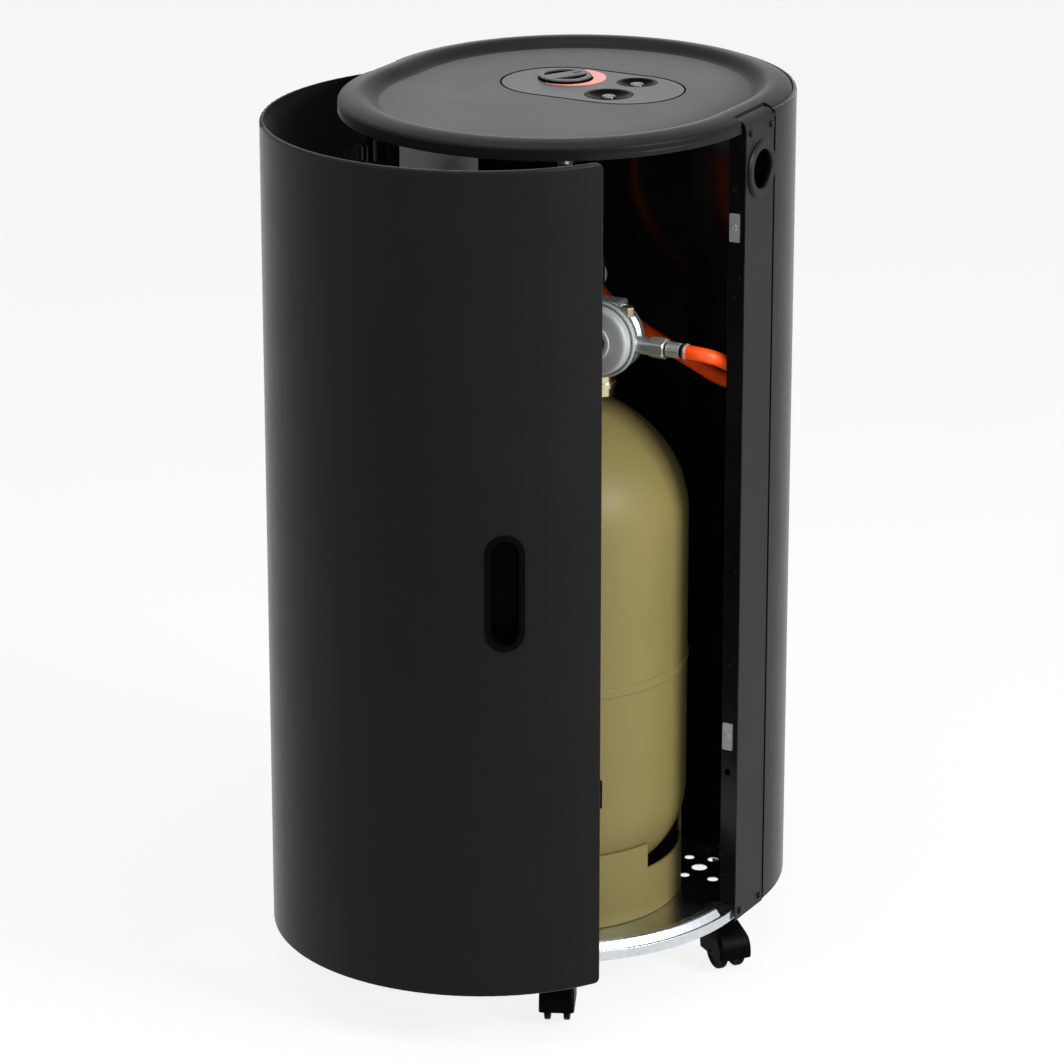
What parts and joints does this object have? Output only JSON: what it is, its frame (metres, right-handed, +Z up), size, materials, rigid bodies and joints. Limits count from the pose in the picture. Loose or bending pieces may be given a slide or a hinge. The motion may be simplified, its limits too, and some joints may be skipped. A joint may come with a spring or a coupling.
{
  "type": "portable gas cabinet heater",
  "caption": "Oval steel cabinet heater on castors with a hinged rear door, a gas bottle, regulator and hose inside, and a ceramic burner behind a front grille.",
  "frame": {"origin": "on the floor, in the middle of the cabinet's oval plan", "axes": "+Z up; the burner faces -Y and the rear door opens towards +Y"},
  "size_m": [0.4529, 0.579, 0.878],
  "materials": {
    "black_powder_coat": "fine-textured matt powder coat",
    "black_inner_coat": "satin black paint",
    "zinc_plate": "bright zinc plate",
    "black_moulding": "satin moulded plastic",
    "gloss_black": "gloss black",
    "red_print": "matt red print",
    "chrome_button": "polished",
    "bright_reflector": "bright rolled steel",
    "burner_ceramic": "matt perforated ceramic",
    "black_enamel_grille": "satin heat-proof enamel",
    "cast_metal": "die-cast, lightly blasted",
    "plated_steel": "bright plated",
    "brass_fitting": "plain brass",
    "bottle_paint": "satin olive paint",
    "handwheel_plastic": "moulded dark grey",
    "orange_hose": "smooth rubber"
  },
  "bodies": {
    "cabinet": {"front_shell": "black_powder_coat", "side_strip_left": "black_powder_coat", "side_strip_right": "black_powder_coat", "top_plate": "black_powder_coat", "upright_left": "black_inner_coat", "upright_right": "black_inner_coat", "heat_shield": "black_inner_coat", "frame_hinge_leaves": "black_inner_coat", "base_pan": "zinc_plate", "castor_sockets": "zinc_plate", "catch_plates": "zinc_plate", "catch_screws": "zinc_plate", "hinge_pins": "zinc_plate", "grip_ring_left": "black_moulding", "grip_ring_right": "black_moulding", "control_panel": "black_moulding", "piezo_igniter": "black_moulding", "cutoff_switch": "black_moulding", "igniter_dish": "gloss_black", "cutoff_dish": "gloss_black", "strip_screws": "gloss_black", "heat_scale": "red_print", "burner_housing": "bright_reflector", "pilot_burner": "bright_reflector", "ceramic_plaques": "burner_ceramic", "guard_grille": "black_enamel_grille", "gas_valve": "cast_metal", "regulator_body": "cast_metal", "regulator_cover": "cast_metal", "outlet_nut": "plated_steel", "hose_ferrules": "plated_steel", "union_nut": "plated_steel", "regulator_brass": "brass_fitting", "bottle_valve": "brass_fitting", "burner_pipe": "brass_fitting", "bottle_body": "bottle_paint", "bottle_foot_ring": "bottle_paint", "gas_hose": "orange_hose"},
    "door": {"door_shell": "black_powder_coat", "door_handle": "black_moulding", "door_magnets": "black_moulding", "door_hinge_leaves": "black_inner_coat"},
    "knob_carrier": {"spindle_collar": "zinc_plate"},
    "knob": {"control_knob": "gloss_black", "control_spindle": "brass_fitting"},
    "igniter_push": {"igniter_button": "chrome_button"},
    "cutoff_push": {"cutoff_button": "chrome_button"},
    "handwheel": {"valve_handwheel": "handwheel_plastic"},
    "castor_1": {"castor_hood_1": "black_moulding"},
    "wheels_1": {"castor_wheels_1": "black_moulding"},
    "castor_2": {"castor_hood_2": "black_moulding"},
    "wheels_2": {"castor_wheels_2": "black_moulding"},
    "castor_3": {"castor_hood_3": "black_moulding"},
    "wheels_3": {"castor_wheels_3": "black_moulding"},
    "castor_4": {"castor_hood_4": "black_moulding"},
    "wheels_4": {"castor_wheels_4": "black_moulding"},
    "castor_5": {"castor_hood_5": "black_moulding"},
    "wheels_5": {"castor_wheels_5": "black_moulding"},
    "castor_6": {"castor_hood_6": "black_moulding"},
    "wheels_6": {"castor_wheels_6": "black_moulding"}
  },
  "joints": [
    {"name": "door_hinge", "type": "hinge", "parent": "cabinet", "child": "door", "pos_m": [0.205, 0.035, 0.47], "axis": [0, 0, -1], "range_deg": [-28.1, 70]},
    {"name": "knob_press", "type": "slide", "parent": "cabinet", "child": "knob_carrier", "axis": [0, 0, -1], "range_m": [0, 0.004], "stiffness_N_per_m": 800, "springref_m": -0.004},
    {"name": "knob_turn", "type": "hinge", "parent": "knob_carrier", "child": "knob", "pos_m": [0.031, -0.056, 0.87], "axis": [0, 0, 1], "range_deg": [0, 210]},
    {"name": "igniter_press", "type": "slide", "parent": "cabinet", "child": "igniter_push", "axis": [0, 0, -1], "range_m": [0, 0.005], "stiffness_N_per_m": 400, "springref_m": -0.004},
    {"name": "cutoff_press", "type": "slide", "parent": "cabinet", "child": "cutoff_push", "axis": [0, 0, -1], "range_m": [0, 0.005], "stiffness_N_per_m": 400, "springref_m": -0.004},
    {"name": "handwheel_turn", "type": "hinge", "parent": "cabinet", "child": "handwheel", "pos_m": [0, 0.036, 0.678], "axis": [0, 0, 1], "range_deg": [0, 540]},
    {"name": "castor_swivel_1", "type": "hinge", "parent": "cabinet", "child": "castor_1", "pos_m": [-0.174, 0, 0.05], "axis": [0, 0, 1], "continuous": true},
    {"name": "wheel_roll_1", "type": "hinge", "parent": "castor_1", "child": "wheels_1", "pos_m": [-0.1918, 0.01293, 0.02], "axis": [-0.5878, -0.809, 0], "continuous": true},
    {"name": "castor_swivel_2", "type": "hinge", "parent": "cabinet", "child": "castor_2", "pos_m": [-0.09511, 0.185, 0.05], "axis": [0, 0, 1], "continuous": true},
    {"name": "wheel_roll_2", "type": "hinge", "parent": "castor_2", "child": "wheels_2", "pos_m": [-0.10441, 0.20494, 0.02], "axis": [-0.9063, -0.4226, 0], "continuous": true},
    {"name": "castor_swivel_3", "type": "hinge", "parent": "cabinet", "child": "castor_3", "pos_m": [0.09511, 0.185, 0.05], "axis": [0, 0, 1], "continuous": true},
    {"name": "wheel_roll_3", "type": "hinge", "parent": "castor_3", "child": "wheels_3", "pos_m": [0.08345, 0.20365, 0.02], "axis": [-0.848, -0.5299, 0], "continuous": true},
    {"name": "castor_swivel_4", "type": "hinge", "parent": "cabinet", "child": "castor_4", "pos_m": [0.174, 0, 0.05], "axis": [0, 0, 1], "continuous": true},
    {"name": "wheel_roll_4", "type": "hinge", "parent": "castor_4", "child": "wheels_4", "pos_m": [0.15957, 0.0166, 0.02], "axis": [-0.7547, -0.6561, 0], "continuous": true},
    {"name": "castor_swivel_5", "type": "hinge", "parent": "cabinet", "child": "castor_5", "pos_m": [0.09511, -0.185, 0.05], "axis": [0, 0, 1], "continuous": true},
    {"name": "wheel_roll_5", "type": "hinge", "parent": "castor_5", "child": "wheels_5", "pos_m": [0.08218, -0.1672, 0.02], "axis": [-0.809, -0.5878, 0], "continuous": true},
    {"name": "castor_swivel_6", "type": "hinge", "parent": "cabinet", "child": "castor_6", "pos_m": [-0.09511, -0.185, 0.05], "axis": [0, 0, 1], "continuous": true},
    {"name": "wheel_roll_6", "type": "hinge", "parent": "castor_6", "child": "wheels_6", "pos_m": [-0.11146, -0.17028, 0.02], "axis": [-0.6691, -0.7431, 0], "continuous": true}
  ]
}
